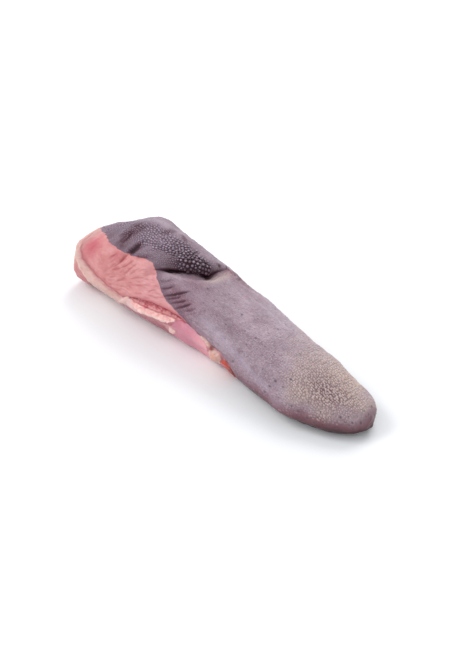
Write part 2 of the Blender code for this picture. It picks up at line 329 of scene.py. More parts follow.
# Seen from above: the hump, the part of it with large papillae, the worn patch behind the tip, and the
# pale lip in front of the fold.
HUMP = [
    (2, -3), (6, 14), (24, 24), (38, 27), (50, 32), (66, 38), (97, 38), (116, 35), (129, 27),
    (132, 12), (127, 3), (121, -3), (114, -8), (106, -13), (97, -18), (86, -19), (72, -22),
    (60, -23), (42, -21), (30, -16), (20, -11), (10, -7),
]
BEADED = [
    (9, -5), (11, 6), (21, 14.6), (39.8, 13.1), (48.7, 15), (59.7, 17.2), (69.6, 20.2),
    (83.6, 19.5), (94.7, 18.7), (106.2, 17.8), (117.4, 17.4), (126, 18), (131, 14), (130.7, 8.3),
    (124.6, 1.1), (117.6, -4.1), (113.5, -6.6), (108.8, -5.4), (100.9, -4.7), (91.2, -5.3),
    (82.9, -7.1), (74.9, -8.3), (67.4, -7.6), (50, -9), (38, -9), (22, -8),
]
WORN_PATCH = [
    (214, 30), (262, 36), (292, 30), (308, 18), (314, 4), (307, -9), (294, -21), (274, -28),
    (256, -29), (250, -19), (238, 0),
]
LIP = [(131, 1), (140, -1), (147, 10), (144, 30), (134, 34)]
# Lines: the hump's smooth crest, the blade's far ridge seen from above, the painted highlight of a moist
# sheen on the near side of the blade, and the brown streak over the hump.
CREST = [(41, 18, 64), (51, 21.4, 66), (64, 25.6, 65), (74, 30, 60), (98.7, 31.8, 56), (122, 28, 55)]
FAR_RIDGE = [(175, 17), (190, 17), (205, 16), (225, 15.5), (246, 17), (266, 18)]
SHEEN = [(162, -27, 44), (181, -28, 40), (203, -30.5, 34), (226, -33, 28), (244, -35, 22)]
BROWN_STREAK = [(52, -19, 60), (48.5, -9, 62), (46, 4, 63)]


def rounded(path, rounds=2):
    """The path with its corners cut off, ends kept."""
    path = np.array(path, float)
    for _ in range(rounds):
        cut = np.empty((2 * len(path) - 2, path.shape[1]))
        cut[0::2] = 0.75 * path[:-1] + 0.25 * path[1:]
        cut[1::2] = 0.25 * path[:-1] + 0.75 * path[1:]
        path = np.concatenate([path[:1], cut[1:-1], path[-1:]])
    return path


def crease_relief(points):
    """How far the creases press in, and how much painted shade each point gets for it. Each has a low
    swelling beside it.
    """
    depth, dark = np.zeros(len(points)), np.zeros(len(points))
    for path, deep, half_width, darkness in CREASES:
        distance, share, _ = to_path(points, rounded(path))
        fade = smooth(share, -0.04, 0.14) * (1 - smooth(share, 0.45, 1.0))
        groove = bell(distance, half_width * (0.6 + 0.4 * fade))
        depth += deep * fade * (groove - 0.5 * bell(distance, 2.2 * half_width))
        shade_across = 0.68 * bell(distance, half_width * (0.4 + 0.45 * fade))
        shade_across += 0.32 * bell(distance, 2.2 * half_width)
        dark = np.maximum(dark, darkness * shade_across * fade)
    return depth, dark


def fold_relief(points):
    """The deep fold: how far it presses in, the painted shade on its floor, the painted shade on the hump's
    side of it, and how far each point lies towards that side."""
    distance, share, nearest = to_path(points, rounded(FOLD))
    open_part = smooth(share, 0.0, 0.22)
    pocket = bell(share - 0.66, 0.16)
    shut = 1 - smooth(share, 0.8, 1.0)
    depth = (3.6 + 1.2 * pocket) * bell(distance, 1.4 + 0.5 * pocket) * open_part * (0.3 + 0.7 * shut)
    half_width = np.interp(share, FOLD_SHARES, FOLD_HALF_WIDTHS)
    toward_root = (points - nearest) @ np.array([-0.8, 0.45, 0.4])
    above = toward_root > 0
    dark = bell(distance * np.where(above, 0.8, 1.8), half_width)
    dark *= np.interp(share, FOLD_SHARES, FOLD_DARKNESS)
    brow = np.exp(-distance / (2.6 + 7 * pocket)) * above * (0.5 + 0.5 * open_part) * (0.2 + 0.8 * shut)
    return depth, dark, brow, toward_root


def fine_wrinkles(side_points):
    """Short shallow wrinkles on the pink flank, which turn from upright near the root to lengthways."""
    draw = np.random.default_rng(11)
    depth = np.zeros(len(side_points))
    for _ in range(FINE_WRINKLES):
        along, up = draw.uniform(50, 120), draw.uniform(26, 56)
        slant = 12 + 1.9 * (up - 30) * math.exp(-(((along - 60) / 22) ** 2)) + draw.normal(0, 5)
        angle = math.radians(slant)
        length = draw.uniform(5, 14)
        run = np.array([math.cos(angle), math.sin(angle)])
        side = np.array([-run[1], run[0]])
        middle = np.array([along, up])
        bend = middle + side * draw.normal(0, 0.9)
        path = rounded([middle - run * length / 2, bend, middle + run * length / 2])
        close = np.abs(side_points - middle).max(1) < length / 2 + 3
        distance, share, _ = to_path(side_points[close], path)
        fade = smooth(share, 0, 0.4) * (1 - smooth(share, 0.6, 1))
        depth[close] += draw.uniform(0.08, 0.26) * bell(distance, draw.uniform(0.4, 0.62)) * fade
    return depth


def pigment_distance(points, edge):
    """Millimetres into the grey, below 0 in the pink."""
    across, up = PIGMENT_AXIS

    def turn(places):
        return np.arctan2(places[:, 2] - up, np.abs(across - places[:, 1]))

    distance, _, nearest = to_path(points, rounded(edge, 1))
    grey = turn(points) > turn(nearest)
    grey |= points[:, 0] > 150
    return np.where(grey, distance, -distance)


def spot(centre, half_width, points=form):
    """1 at a place and fading round it. A half-width is one number, or one for each direction."""
    return bell(np.linalg.norm((points - centre) / half_width, axis=1), 1)


# dark is the painted shade of the creases and the fold, as a share of 1.
pressed, dark = crease_relief(near_form)
fold_depth, fold_dark, brow, above_fold = fold_relief(form)
pressed += fold_depth
dark = np.maximum(dark, fold_dark)
far_pigment = pigment_distance(form, FAR_PIGMENT_EDGE)
pigment = np.where(form[:, 1] > PIGMENT_AXIS[0], far_pigment, pigment_distance(form, PIGMENT_EDGE))
facing_up = form_normals[:, 2]
facing_side = -form_normals[:, 1] * np.where(far, -1, 1)
wrinkled = fine_wrinkles(flank) * smooth(facing_side, 0.2, 0.5)
wrinkled *= smooth(-pigment, -1, 2)
wrinkled *= smooth(skin_depth, 1, 4)
hump = np.where(facing_up > 0.1, inside_distance(form[:, :2], HUMP), -20)
hump = np.minimum(hump, above_fold + 1.5)
beaded = inside_distance(form[:, :2], BEADED) + 1.8 * waves(form, 7, 48)
top = smooth(facing_up, 0.1, 0.5)
crest, _, _ = to_path(form, CREST)

# The skin's cut edge rolls in, sharply above the gash and more gently along the root's rim.
root_top = smooth(near_form[:, 2], 38.5, 45) * (1 - smooth(near_form[:, 0], 20, 40))
near_rim = (1 - smooth(near_form[:, 0], 66, 84)) * (1 - root_top)
roll = 1.4 * (1 - smooth(skin_depth, -0.5, 3.5)) ** 1.5 * smooth(near_form[:, 0], 66, 84)
roll += 1.0 * (1 - smooth(skin_depth, -0.5, 6.5)) ** 1.3 * near_rim

# The blade has a low ridge along its far side and two shallow hollows next to the fold.
far_ridge, _, _ = to_path(form[:, :2], rounded(FAR_RIDGE))
ridge = 0.5 * bell(far_ridge, 3) * top
hollow = 0.8 * spot((189, -14, 44), (16, 9, 20)) + 0.7 * spot((202, 2, 47), (13, 7, 20))
skin_height = ridge - hollow - pressed - wrinkled - roll
skin_height += 0.18 * waves(form, 9, 5)
skin_height += 0.3 * waves(form, 26, 8) * top
skin_form = form + form_normals * skin_height[:, None]

# How much of each colour lies on each point, as a share of 1. Pigment alone is a distance, in millimetres.
# On the grey, turned is painted shade where the hide turns down the flank, low and the underside are painted
# shade with a ruddy tint on its lower sides towards the tip, the fan is painted shade round the wrinkles
# below the fold, and the gaps are painted shade in the clefts between worn bristles. The sheen and the far
# light are painted highlights; the smudges in the hollows, the fold side, the brow and part of the hump's
# ground are painted shade. On the pink, hot is blood under the skin, root_end the dried end, front the paler
# part next to the fold, and the wrinkles carry painted shade.
low_edge = np.interp(form[:, 0], [150, 190, 215, 260, 320], [24, 26.5, 24, 20.5, 18])
low_edge += 1.5 * waves(form, 20, 13)
toward_tip = np.interp(form[:, 0], [120, 160, 215, 260, 300], [0, 0.45, 0.6, 0.85, 1])
worn = smooth(inside_distance(form[:, :2], WORN_PATCH) + 4 * waves(form, 15, 44), -9, 10) * top
worn *= 0.25 + 0.75 * smooth(form[:, 0], 235, 285)
lip = inside_distance(form[:, :2], LIP)
worn = np.maximum(worn, 0.55 * smooth(lip + 2 * waves(form, 8, 46), -4, 4) * top)
sheen_distance, _, _ = to_path(near_form, SHEEN)
streak_distance, _, _ = to_path(form, BROWN_STREAK)
brown_stain = bell(streak_distance, 6.2) * (0.9 + 0.3 * waves(form, 5, 14))
brown_stain = np.maximum(brown_stain, 0.5 * spot((30, -12, 56), (9, 6, 20)))
brown_stain = np.maximum(brown_stain, spot((127, 27, 52), 2.2))
brown_stain = np.maximum(brown_stain, 0.45 * spot((107, -9, 60), (9, 5, 20)))
brown_spots = np.maximum(spot((208, -28, 37), 2.6), spot((226, -31, 32), 2.2))
readings = {
    "pigment": pigment,
    # The hump's dark ground between the papillae: partly pigment, partly painted shade, weaker towards the
    # far side.
    "hump": (0.5 + 0.26 * smooth(beaded, -2, 3)) * smooth(hump, -5, 3)
    * (1 - 0.6 * smooth(form[:, 1], 14, 24)),
    # Painted shade, dark red-brown, on the face of the hump above the fold.
    "fold_side_shade": 0.88 * smooth(beaded, -5, 4) * smooth(above_fold, 0, 1.5) * smooth(form[:, 0], 76, 110),
    "brown": np.clip(0.95 * brown_stain, 0, 1),
    # Painted shade on the hump's brow, just above the fold.
    "brow": 0.95 * brow,
    # Painted shade round the wrinkles below the fold.
    "fan_shade": 0.75 * smooth(pigment, -1, 3) * smooth(1.5 - above_fold, 0, 2) * np.maximum(
        spot((132, -28, 47), (24, 11, 13), near_form), 0.55 * spot((131, -8, 54), (13, 9, 10))
    ),
    # Painted shade where the hide turns down the flank, away from the light above.
    "turned": 0.65 * (1 - smooth(facing_up, 0.05, 0.7)),
    # Painted shade with a ruddy tint on the lower sides towards the tip, darker still on the underside.
    "low": 0.85 * toward_tip * (1 - smooth(form[:, 2], low_edge - 7, low_edge + 3)),
    "underside_shade": 0.9 * toward_tip * (1 - smooth(form[:, 2], low_edge - 13, low_edge - 4)),
    # A painted highlight: a pale bluish sheen band along the near shoulder of the blade.
    "painted_sheen": 0.34 * bell(sheen_distance, 3.2),
    # Painted light on the far side of the blade, and painted highlights along the hump's crest and the far
    # ridge.
    "far_light": np.maximum.reduce([
        0.45 * smooth(form[:, 1], 6, 24) * smooth(form[:, 0], 165, 215) * smooth(facing_up, -0.1, 0.3),
        0.45 * bell(crest, 4), 0.5 * bell(far_ridge, 2.2) * top * (0.7 + 0.4 * waves(form, 14, 12)),
    ]),
    # Painted shade in the blade's two hollows and a broad painted shade behind them, with two real brown
    # stains.
    "hollow_shade_and_stains": np.maximum.reduce([
        0.55 * spot((189, -18, 44), (10, 5, 20)), 0.5 * spot((201, 2, 47), (7, 5, 20)), 0.6 * brown_spots,
        0.36 * spot((152, -4, 50), (26, 26, 30)),
    ]),
    "worn": 0.85 * worn,
    # Painted shade in the clefts between the worn bristles.
    "gap_shade": 0.9 * worn * spot((285, -7, 27), (30, 16, 30)),
    "hot": 0.85 * np.maximum(spot((21, -28, 47), 11, near_form), 0.55 * spot((56, -28, 55), 6, near_form)),
    "root_end": 0.85 * (1 - smooth(form[:, 0], 3, 18)),
    "above_gash": 0.8 * (1 - smooth(skin_depth, 0.5, 6)) * smooth(near_form[:, 0], 84, 100)
    * (1 - smooth(near_form[:, 0], 138, 148)),
    "front": 0.6 * smooth(form[:, 0], 72, 108),
    "beside_rim": 0.6 * near_rim * (1 - smooth(skin_depth, 0.5, 5)),
    # Painted shade in the wrinkles of the pink flank.
    "wrinkle_shade": np.clip(1.2 * wrinkled, 0, 0.5),
    "dark": dark,
    "edge": 0.7 * (1 - smooth(skin_depth, 0, 0.9)) * (1 - root_top),
}
values = np.column_stack([skin_form, form_normals, *readings.values()])
skin_values, skin_triangles = kept_above(values, triangles, skin_depth)


def with_cut_side(values, triangles, deep):
    """Turns the open edge of the skin inward, which gives its cut side."""
    edges, count = edges_of(triangles)
    rim = edges[count == 1]
    ends = np.unique(rim)
    lower = values[ends].copy()
    lower[:, :3] -= lower[:, 3:6] * deep
    place = np.zeros(len(values), int)
    place[ends] = len(values) + np.arange(len(ends))
    a, b = rim.T
    sides = np.concatenate([np.stack([a, b, place[b]], 1), np.stack([a, place[b], place[a]], 1)])
    return np.concatenate([values, lower]), np.concatenate([triangles, sides])


skin_values, skin_triangles = with_cut_side(skin_values, skin_triangles, 2.4)


def shade(code):
    """A colour as the eye sees it, written in hex, turned to the linear values a shader takes."""
    parts = [int(code[i : i + 2], 16) / 255 for i in (1, 3, 5)]
    return (*[p / 12.92 if p <= 0.04045 else ((p + 0.055) / 1.055) ** 2.4 for p in parts], 1.0)


def add(tree, kind, inputs, output=None, **settings):
    """Adds a node with its settings and links. Returns its first output in use, or the one named."""
    node = tree.nodes.new("ShaderNode" + kind)
    for name, value in settings.items():
        setattr(node, name, value)
    for name, value in inputs.items():
        socket = node.inputs[name] if isinstance(name, int) else next(
            s for s in node.inputs if s.name == name and s.enabled
        )
        if isinstance(value, bpy.types.NodeSocket):
            tree.links.new(value, socket)
        else:
            socket.default_value = shade(value) if isinstance(value, str) else value
    return next(s for s in node.outputs if s.enabled and output in (None, s.name))


def new_material(name):
    material = bpy.data.materials.new(name)
    material.use_nodes = True
    return material, material.node_tree, material.node_tree.nodes["Principled BSDF"]


# Grain of the hide: size in millimetres, where its noise starts and ends, its strength and its colour.
# The finest real grain is 0.4 mm and is drawn about three times as coarse, so that it shows.
GREY_GRAIN = [
    (16, 0.35, 0.65, 0.8, "#ac959f"), (6, 0.5, 0.7, 0.3, "#86707a"), (3.2, 0.5, 0.72, 0.3, "#7c636e"),
    (1.3, 0.52, 0.7, 0.4, "#6f5762"), (1.3, 0.48, 0.3, 0.3, "#c6b4bd"),
]
# Layers over the grey, each a reading and its colour: real stains and wear, with painted shade on the turned
# flank, the hollows, the bristle gaps, the fan, the low sides, the underside, the fold side and the brow,
# partly on the hump's ground, and painted highlights for the sheen and the far light.
GREY_STAINS_AND_SHADE = [
    ("turned", "#866974"), ("far_light", "#bfb0ba"), ("painted_sheen", "#b7a8ba"), ("hollow_shade_and_stains", "#765a65"),
    ("worn", "#b9a39a"), ("gap_shade", "#6b4955"), ("fan_shade", "#7a4658"), ("low", "#72434b"), ("underside_shade", "#36151a"),
    ("hump", "#5c4553"), ("brown", "#421217"), ("fold_side_shade", "#330b15"), ("brow", "#2c0911"),
]
PINK_GRAIN = [
    (11, 0.35, 0.68, 0.9, "#d29391"), (5, 0.5, 0.7, 0.35, "#c07a72"), (2.2, 0.52, 0.68, 0.22, "#b76a6d"),
    (2.2, 0.46, 0.3, 0.25, "#dcaea9"),
]
# Layers over the pink: its real colours, and painted shade in the wrinkles.
PINK_STAINS_AND_SHADE = [
    ("front", "#d99b9e"), ("root_end", "#b8948f"), ("hot", "#b74f5b"), ("wrinkle_shade", "#b06060"),
    ("beside_rim", "#aa5a62"), ("above_gash", "#bb5f66"),
]


def hide_colour(tree):
    """Colour of the hide: pigmented grey with its stains, painted shade and painted highlights, over pink
    with its stains and painted wrinkle shade, which shows where there is no pigment.
    """
    place = add(tree, "TexCoord", {}, "Object")
    reading = {name: add(tree, "Attribute", {}, "Fac", attribute_name=name) for name in readings}
    sides = {}
    for side, base, grains, stains_and_shade in (
        ("grey", "#957e88", GREY_GRAIN, GREY_STAINS_AND_SHADE), ("pink", "#c57e7d", PINK_GRAIN, PINK_STAINS_AND_SHADE),
    ):
        # The grain is drawn out along the tongue.
        turned = add(tree, "Mapping", {"Vector": place, "Rotation": (0, 0.2, 0.25), "Scale": (0.5, 1, 1)})
        colour = shade(base)
        for size, start, end, most, code in grains:
            noise = add(tree, "TexNoise", {"Vector": turned, "Scale": 1000 / size, "Detail": 3.0})
            share = add(
                tree, "MapRange", {"Value": noise, "From Min": start, "From Max": end, "To Max": most},
                interpolation_type="SMOOTHSTEP",
            )
            colour = add(tree, "Mix", {"Factor": share, "A": colour, "B": code}, data_type="RGBA")
        for name, code in stains_and_shade:
            colour = add(tree, "Mix", {"Factor": reading[name], "A": colour, "B": code}, data_type="RGBA")
        sides[side] = colour

    # The edge of the pigment wanders by up to 1.7 mm either way, and is darkest just inside.
    noise = add(tree, "TexNoise", {"Vector": place, "Scale": 1000 / 4.5, "Detail": 2.0})
    wander = add(tree, "Math", {0: noise, 1: 3.4, 2: reading["pigment"]}, operation="MULTIPLY_ADD")
    inner = add(
        tree, "MapRange", {"Value": wander, "From Min": 9.0, "From Max": 2.0, "To Max": 0.6},
        interpolation_type="SMOOTHSTEP",
    )
    grey = add(tree, "Mix", {"Factor": inner, "A": sides["grey"], "B": "#624756"}, data_type="RGBA")
    is_grey = add(
        tree, "MapRange", {"Value": wander, "From Min": 1.2, "From Max": 2.2},
        interpolation_type="SMOOTHSTEP",
    )
    colour = add(tree, "Mix", {"Factor": is_grey, "A": sides["pink"], "B": grey}, data_type="RGBA")

    # Creases and the fold get painted shade: ruddy at first, then a near-black painted shadow at the deepest.
    # The cut edge shows a dark line.
    ruddy_crease_shade = add(tree, "Mix", {"Factor": is_grey, "A": "#b3605f", "B": "#522c3a"}, data_type="RGBA")
    shadow = add(tree, "Mix", {"Factor": is_grey, "A": "#9c4648", "B": "#1d0a0e"}, data_type="RGBA")
    for start, end, most, tone in ((0.03, 0.5, 0.85, ruddy_crease_shade), (0.45, 1.0, 0.95, shadow)):
        share = add(
            tree, "MapRange", {"Value": reading["dark"], "From Min": start, "From Max": end, "To Max": most},
            interpolation_type="SMOOTHSTEP",
        )
        colour = add(tree, "Mix", {"Factor": share, "A": colour, "B": tone}, data_type="RGBA")
    cut = add(tree, "Mix", {"Factor": is_grey, "A": "#b2545f", "B": "#5c4650"}, data_type="RGBA")
    colour = add(tree, "Mix", {"Factor": reading["edge"], "A": colour, "B": cut}, data_type="RGBA")
    return colour, is_grey, place


def skin_material():
    """Moist hide: soft light from under the surface, and a broad sheen that fine pimples break up."""
    material, tree, shader = new_material("tongue_hide")
    colour, is_grey, place = hide_colour(tree)
    tree.links.new(colour, shader.inputs["Base Color"])
    fine = add(tree, "TexNoise", {"Vector": place, "Scale": 1000 / 3.2, "Detail": 3.0})
    rough = add(
        tree, "MapRange", {"Value": fine, "From Min": 0.3, "From Max": 0.7, "To Min": 0.34, "To Max": 0.46},
    )
    tree.links.new(rough, shader.inputs["Roughness"])
    shader.inputs["Subsurface Weight"].default_value = 0.2
    shader.inputs["Subsurface Radius"].default_value = (1.0, 0.4, 0.3)
    shader.inputs["Subsurface Scale"].default_value = 0.002
    shader.inputs["Specular IOR Level"].default_value = 0.25
    shader.inputs["Coat Weight"].default_value = 0.06
    shader.inputs["Coat Roughness"].default_value = 0.28

    # Pimples 1.1 mm across on the grey, and finer lines 2 mm apart everywhere.
    pimples = add(tree, "TexVoronoi", {"Vector": place, "Scale": 1000 / 1.1}, feature="SMOOTH_F1")
    pimples = add(tree, "Math", {0: pimples, 1: is_grey}, operation="MULTIPLY")
    drawn = add(tree, "Mapping", {"Vector": place, "Rotation": (0, 0.6, 0), "Scale": (0.35, 1, 1)})
    lines = add(tree, "TexNoise", {"Vector": drawn, "Scale": 1000 / 2.2, "Detail": 3.0})
    height = add(tree, "Math", {0: pimples, 1: -0.7, 2: lines}, operation="MULTIPLY_ADD")
    height = add(tree, "Math", {0: fine, 1: 0.8, 2: height}, operation="MULTIPLY_ADD")
    bump = add(tree, "Bump", {"Height": height, "Strength": 0.5, "Distance": 0.0005})
    tree.links.new(bump, shader.inputs["Normal"])
    return material


to_piece(
    "skin", skin_values[:, :3], skin_triangles, dict(zip(readings, skin_values[:, 6:].T)), skin_material(),
)

# Cut flesh
# What shows where the skin ends: a pale gristly rim round the root, a bloody gash under the skin's edge with
# lobes of fat below it, a smooth sheet of muscle, lumps of fat behind it, and dull meat underneath.

# Outlines of each on the flank, along and up.
GASH = [
    (81, 30), (85, 33), (97, 37), (108, 40), (119, 40), (130, 39), (139, 38.5), (150, 35.5),
    (149, 31.8), (141.4, 32.6), (131.6, 32.6), (121, 31.6), (110, 30.8), (98.8, 30), (88, 28.8),
]
FAT_BAND = [
    (84, 28.6), (98.8, 29.9), (110, 31), (121, 31.8), (130, 32.6), (135.5, 32.6), (137, 31),
    (132.5, 28.2), (124, 25), (112, 23.2), (93, 19.6), (84, 18.2), (78, 22),
]
MEMBRANE = [(69, 18), (73, 24), (81.6, 30.6), (85, 29), (91, 25), (97, 20.6), (90, 17.4), (80, 15)]
MUSCLE = [
    (137, 31), (144, 36), (156, 35), (164, 31), (170, 27), (175, 22.5), (175, 14), (171, 7),
    (169, -4), (120, -4), (124, 4), (128, 10), (133, 20),
]
CREAM_STRIP = [(161.5, 31.5), (171, 30), (176, 28.4), (179.5, 27), (177.5, 24.8), (172, 25.8), (166, 28.2)]
FAT_LUMP = [
    (177.6, 22), (179.6, 25.2), (184.4, 26), (189.4, 24.8), (191.4, 21), (189, 14), (185, 8.5),
    (180, 4), (174.5, 4.5), (171.5, 7.5), (174, 14),
]
BLOODY_PATCH = [
    (190.8, 18.5), (194, 21), (199, 18.6), (202, 12.5), (203, 5), (204, -4), (194, -4), (187.5, 4),
    (189, 11),
]
FLECK = [(122, 7), (123.5, 12.5), (128, 19), (132.5, 21), (133.5, 17), (130.5, 11), (127, 7)]
PALE_MEAT = [(120, 22), (131, 24), (137, 22), (134, 8), (124, 6), (120, 12)]
RED_END = [
    (-6, 37), (4, 35), (9.9, 31.4), (13, 29), (17, 26), (20.5, 21.5), (24, 15.5), (27.5, 12),
    (31, 7), (34, 0), (24, -4), (-8, -4),
]


def zone(outline, seed, wander=0.6):
    """Millimetres inside an outline on the flank, with a wandering edge."""
    wobble = waves(form, 6, seed) + 0.5 * waves(form, 2.4, seed + 100)
    return inside_distance(flank, outline) + wander * wobble


# Millimetres inside each outline, and below the skin's edge.
below = -skin_depth
along_flank = flank[:, 0]
red_end = zone(RED_END, 40)
rim_width = np.interp(along_flank, [0, 10, 20, 32, 60, 72, 80, 84], [14, 17, 24, 30, 24, 9, 3, 0])
rim_width += 0.8 * waves(form, 12, 31)
rim = np.where(along_flank < 85, np.minimum(np.minimum(rim_width - below, below + 2), -red_end), -6)
membrane = zone(MEMBRANE, 32)
muscle = zone(MUSCLE, 33)
pale = zone(PALE_MEAT, 34)
fat_band = zone(FAT_BAND, 35)
strip = zone(CREAM_STRIP, 36)
lump = zone(FAT_LUMP, 37, 0.2)
fleck = zone(FLECK, 38)
bloody = zone(BLOODY_PATCH, 39)
gash_width = inside_distance(flank, GASH) + 0.3 * waves(form, 4, 41)
on_membrane = smooth(membrane, -0.5, 1.0)
gash = smooth(gash_width, -0.5, 0.9) * smooth(below, -3, -0.6) * (1 - smooth(along_flank, 143, 150))
lobe_places = np.column_stack([flank[:, 0] + 0.8 * waves(form, 9, 50), 0.42 * flank[:, 1]])
first, gap = lumps(lobe_places, 4.6, 7)
in_band = smooth(fat_band, -0.4, 2.2) * (1 - on_membrane)
lobes = (0.9 * (1 - np.clip(first, 0, 1) ** 2) - 0.35 * bell(gap, 0.14)) * in_band
flesh_height = -0.5 + 0.25 * waves(form, 9, 21) + 0.12 * waves(form, 3.6, 22)
flesh_height += 0.9 * smooth(rim, -1.5, 5) + lobes + 0.6 * on_membrane - 1.6 * gash
flesh_height += 0.8 * smooth(strip, -0.5, 1.2)
flesh_height += 2.0 * smooth(lump, -1, 6) ** 0.7
flesh_height += 0.9 * smooth(fleck, -0.5, 2)
flesh_height += 0.6 * smooth(bloody, -0.5, 2.5)
any_fat = np.maximum.reduce([fat_band, strip, lump, fleck])
flat_muscle = smooth(muscle, -0.5, 1.5) * (1 - smooth(any_fat, -0.5, 0.8))
flesh_height += flat_muscle * (-0.6 + 0.15 * waves(form, 14, 30) - flesh_height)
flesh_height -= 1.6 * smooth(skin_depth, -0.8, 1.2)

# The flat underside that it rests on stays flat.
on_table = form[:, 2] < 0.6
flesh_height = np.where(on_table, np.minimum(flesh_height, 0.0) * 0.15, flesh_height)
flesh_form = form + form_normals * flesh_height[:, None]

# How much of each colour lies on each point, as a share of 1.
# The notch is a dark cut at the foot of the rim. Nick and clot are two small dark drops by the skin's edge.
near_skin = 1 - smooth(below, 0.2, 1.6)
notch = spot((25, -38, 11.5), (4, 20, 3.5))
nick = spot((179.6, -33, 25.8), (2.4, 20, 1.9), near_form)
clot = spot((198, -31, 9), (3.6, 20, 6.5), near_form)
heart = np.maximum(0.55 * smooth(lump, 0.5, 4.5), 0.85 * spot((5, -38, 31), (4, 20, 4)))
flesh_shares = {
    "pale": 0.75 * smooth(pale, -0.5, 1.0),
    "muscle": smooth(muscle, -0.4, 0.5),
    "muscle_end": smooth(muscle, -0.4, 0.5) * smooth(along_flank, 148, 172),
    "red_end": 0.74 * smooth(red_end, -0.7, 0.7),
    "notch": 0.7 * notch,
    "rim": smooth(rim, -0.6, 0.6),
    "rim_flush": smooth(rim, -0.6, 0.6) * 0.6 * (1 - smooth(below, -0.5, 3.0)),
    "membrane": 0.9 * on_membrane,
    "fat": smooth(np.maximum(fat_band, fleck), -0.4, 0.5) * (1 - on_membrane),
    "tallow": smooth(np.maximum(strip, lump), -0.4, 0.6),
    "tallow_heart": heart,
    "cleft": 0.45 * (1 - smooth(gap, 0.0, 0.2)) * in_band,
    "blushed": 0.7 * in_band * smooth(gash_width, -4.6, -0.5),
    "beside_skin": 0.85 * near_skin * smooth(along_flank, 180, 186),
    "gash": smooth(gash, 0.05, 0.6),
    "fatty_gash": 0.85 * smooth(fat_band + 1.5 * waves(form, 3, 43), -3.4, -0.4) * (1 - on_membrane)
    * smooth(gash, 0.05, 0.5) * (1 - smooth(fat_band, -0.4, 0.5)),
    "clotted": 0.8 * smooth(gash, 0.3, 0.9) * (1 - smooth(below + 0.7 * waves(form, 4, 42), 0.5, 3.2)),
    "bloody": 0.95 * smooth(bloody, -0.8, 1.0),
    "clot": 0.95 * np.clip(np.maximum(nick, clot) * 1.6, 0, 1),
}
values = np.column_stack([flesh_form, form_normals, *flesh_shares.values()])
flesh_values, flesh_triangles = kept_above(values, triangles, 5 - skin_depth)

# Grain of the raw meat: size in millimetres, where its noise starts and ends, its strength and its colour.
MEAT_GRAIN = [
    (9, 0.35, 0.65, 1.0, "#bd7c84"), (1.6, 0.5, 0.7, 0.45, "#94505a"), (1.6, 0.4, 0.25, 0.4, "#d2a09f"),
    (7, 0.6, 0.68, 0.5, "#d6aaa4"),
]
MEAT_LAYERS = [
    ("pale", "#dba2a4"), ("muscle", "#cb8090"), ("muscle_end", "#e29ea6"), ("red_end", "#b9625e"),
    ("notch", "#6d2a28"), ("rim", "#cfa69c"), ("rim_flush", "#b25f68"), ("fat", "#f0cac1"),
    ("cleft", "#dd9290"), ("blushed", "#e48d8b"), ("membrane", "#dfbbb4"), ("tallow", "#d4aca1"),
    ("tallow_heart", "#c9876c"), ("beside_skin", "#c9868c"), ("bloody", "#cc4526"), ("gash", "#b84b58"),
    ("fatty_gash", "#df9a96"),
    ("clotted", "#86182f"), ("clot", "#780e05"),
]


def flesh_material():
    """Raw meat: red fibres with thin pale seams, and fat and gristle that let light in and stay pale."""
    material, tree, shader = new_material("raw_meat_and_fat")
    place = add(tree, "TexCoord", {}, "Object")
    fibres = add(tree, "Mapping", {"Vector": place, "Scale": (0.22, 1, 1)})
    colour = shade("#a9636b")
    for size, start, end, most, code in MEAT_GRAIN:
        noise = add(tree, "TexNoise", {"Vector": fibres, "Scale": 1000 / size, "Detail": 4.0})
        share = add(
            tree, "MapRange", {"Value": noise, "From Min": start, "From Max": end, "To Max": most},
            interpolation_type="SMOOTHSTEP",
        )
        colour = add(tree, "Mix", {"Factor": share, "A": colour, "B": code}, data_type="RGBA")
    for name, code in MEAT_LAYERS:
        share = add(tree, "Attribute", {}, "Fac", attribute_name=name)
        colour = add(tree, "Mix", {"Factor": share, "A": colour, "B": code}, data_type="RGBA")

    # Fibres 1.2 mm wide run on through all of it, pale in the gash and dark elsewhere.
    strands = add(tree, "TexNoise", {"Vector": fibres, "Scale": 1000 / 1.2, "Detail": 4.0})
    in_gash = add(tree, "Attribute", {}, "Fac", attribute_name="gash")
    pale_strands = add(
        tree, "MapRange", {"Value": strands, "From Min": 0.53, "From Max": 0.66, "To Max": 0.6},
        interpolation_type="SMOOTHSTEP",
    )
    pale_strands = add(tree, "Math", {0: pale_strands, 1: in_gash}, operation="MULTIPLY")
    colour = add(tree, "Mix", {"Factor": pale_strands, "A": colour, "B": "#e39a98"}, data_type="RGBA")
    dark_strands = add(
        tree, "MapRange", {"Value": strands, "From Min": 0.5, "From Max": 0.3, "To Max": 0.22},
        interpolation_type="SMOOTHSTEP",
    )
    colour = add(tree, "Mix", {"Factor": dark_strands, "A": colour, "B": "#a3545c"}, data_type="RGBA")
    tree.links.new(colour, shader.inputs["Base Color"])

    shader.inputs["Roughness"].default_value = 0.4
    shader.inputs["Subsurface Weight"].default_value = 0.3
    shader.inputs["Subsurface Radius"].default_value = (1.0, 0.35, 0.25)
    shader.inputs["Subsurface Scale"].default_value = 0.003
    shader.inputs["Specular IOR Level"].default_value = 0.45
    shader.inputs["Coat Weight"].default_value = 0.12
    shader.inputs["Coat Roughness"].default_value = 0.22
    bump = add(tree, "Bump", {"Height": strands, "Strength": 0.35, "Distance": 0.0004})
    tree.links.new(bump, shader.inputs["Normal"])
    return material


to_piece(
    "cut_flesh", flesh_values[:, :3], flesh_triangles, dict(zip(flesh_shares, flesh_values[:, 6:].T)),
    flesh_material(),
)

